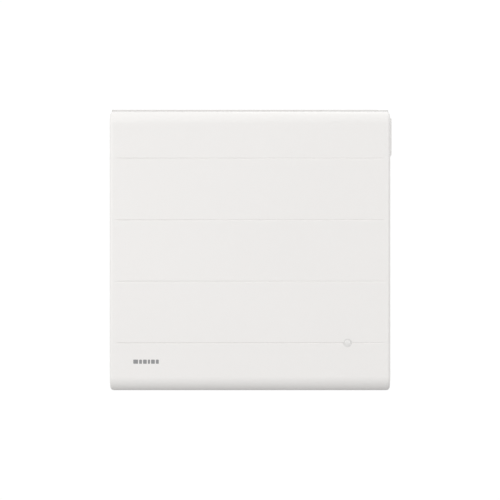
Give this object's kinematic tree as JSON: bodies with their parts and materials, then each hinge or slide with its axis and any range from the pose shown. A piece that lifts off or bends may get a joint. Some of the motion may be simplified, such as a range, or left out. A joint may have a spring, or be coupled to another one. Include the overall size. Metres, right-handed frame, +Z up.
{
  "type": "electric panel heater",
  "caption": "Slim white wall-hung electric panel heater with a grooved front, rounded top and bottom, hidden keypad under a flap, and a hook-on steel wall bracket.",
  "frame": {"origin": "middle of the wall bracket's upper rail, on its wall side", "axes": "+Z up, -Y out of the wall towards the room, +X to the right as seen from the room"},
  "size_m": [0.591, 0.129, 0.5954],
  "materials": {
    "white_enamel": "fine-textured white stoved enamel",
    "white_plastic": "matt white moulded plastic",
    "grey_plastic": "matt grey moulded plastic",
    "black_plastic": "matt black moulded plastic",
    "clear_lens": "milky translucent polycarbonate",
    "dark_glass": "smoked display window",
    "zinc_steel": "zinc-plated sheet steel",
    "aluminium": "plain aluminium",
    "ceramic": "unglazed steatite",
    "circuit_board": "green solder mask",
    "heating_film": "amber polyimide film",
    "fibre_board": "pressed mineral fibre",
    "rubber": "black rubber",
    "red_lead": "red silicone sleeving",
    "blue_lead": "blue silicone sleeving"
  },
  "bodies": {
    "bracket": {"bracket_upright_left": "zinc_steel", "bracket_upright_right": "zinc_steel", "bracket_upper_rail": "zinc_steel", "bracket_lower_rail": "zinc_steel", "bumper_left": "rubber", "bumper_right": "rubber", "catch_rivet_left": "zinc_steel", "catch_rivet_right": "zinc_steel"},
    "catch_left": {"catch_left": "zinc_steel"},
    "catch_right": {"catch_right": "zinc_steel"},
    "flap": {"control_flap": "white_plastic"},
    "rocker": {"switch_rocker": "black_plastic"},
    "key_minus": {"key_minus": "grey_plastic"},
    "key_plus": {"key_plus": "grey_plastic"},
    "key_mode": {"key_mode": "grey_plastic"},
    "key_menu": {"key_menu": "grey_plastic"},
    "heater": {"front_panel": "white_enamel", "outlet_grille": "white_enamel", "inlet_grille": "white_enamel", "switch_panel": "white_enamel", "side_panel_left": "white_plastic", "side_panel_right": "white_plastic", "side_cover": "white_plastic", "control_panel": "white_plastic", "terminal_block": "white_plastic", "air_sensor_holder": "white_plastic", "presence_housing": "grey_plastic", "control_housing": "grey_plastic", "switch_body": "black_plastic", "power_relay": "black_plastic", "thermal_cutout": "black_plastic", "air_sensor": "black_plastic", "cord_gland": "black_plastic", "presence_lens": "clear_lens", "status_light": "clear_lens", "display_window": "dark_glass", "rear_panel": "zinc_steel", "lower_crossmember": "zinc_steel", "upper_crossmember": "zinc_steel", "shell_screw_1": "zinc_steel", "shell_screw_2": "zinc_steel", "keeper_left": "zinc_steel", "keeper_right": "zinc_steel", "element_support_left": "zinc_steel", "element_support_right": "zinc_steel", "cutout_clip": "zinc_steel", "partition": "zinc_steel", "flap_pin_left": "zinc_steel", "flap_pin_right": "zinc_steel", "heating_element": "aluminium", "air_deflector": "aluminium", "element_bush_left": "ceramic", "element_bush_right": "ceramic", "presence_board": "circuit_board", "control_board": "circuit_board", "power_board": "circuit_board", "heating_film": "heating_film", "film_insulation": "fibre_board", "control_lead": "red_lead", "presence_lead": "blue_lead"}
  },
  "joints": [
    {"name": "heater_swing", "type": "hinge", "parent": "bracket", "child": "heater", "pos_m": [0, -0.0264, 0.0303], "axis": [-1, 0, 0], "range_deg": [0, 15]},
    {"name": "catch_left_turn", "type": "hinge", "parent": "bracket", "child": "catch_left", "pos_m": [-0.09, -0.0018, -0.406], "axis": [0, 1, 0], "range_deg": [0, 90]},
    {"name": "catch_right_turn", "type": "hinge", "parent": "bracket", "child": "catch_right", "pos_m": [0.09, -0.0018, -0.406], "axis": [0, -1, 0], "range_deg": [0, 90]},
    {"name": "flap_hinge", "type": "hinge", "parent": "heater", "child": "flap", "pos_m": [0.2114, -0.0319, 0.0847], "axis": [-1, 0, 0], "range_deg": [0, 95]},
    {"name": "switch_rock", "type": "hinge", "parent": "heater", "child": "rocker", "pos_m": [0.2827, -0.0484, 0.0834], "axis": [-1, 0, 0], "range_deg": [0, 14]},
    {"name": "key_minus_press", "type": "slide", "parent": "heater", "child": "key_minus", "axis": [0, 0, -1], "range_m": [0, 0.001], "stiffness_N_per_m": 600, "springref_m": -0.0005},
    {"name": "key_plus_press", "type": "slide", "parent": "heater", "child": "key_plus", "axis": [0, 0, -1], "range_m": [0, 0.001], "stiffness_N_per_m": 600, "springref_m": -0.0005},
    {"name": "key_mode_press", "type": "slide", "parent": "heater", "child": "key_mode", "axis": [0, 0, -1], "range_m": [0, 0.001], "stiffness_N_per_m": 600, "springref_m": -0.0005},
    {"name": "key_menu_press", "type": "slide", "parent": "heater", "child": "key_menu", "axis": [0, 0, -1], "range_m": [0, 0.001], "stiffness_N_per_m": 600, "springref_m": -0.0005}
  ]
}
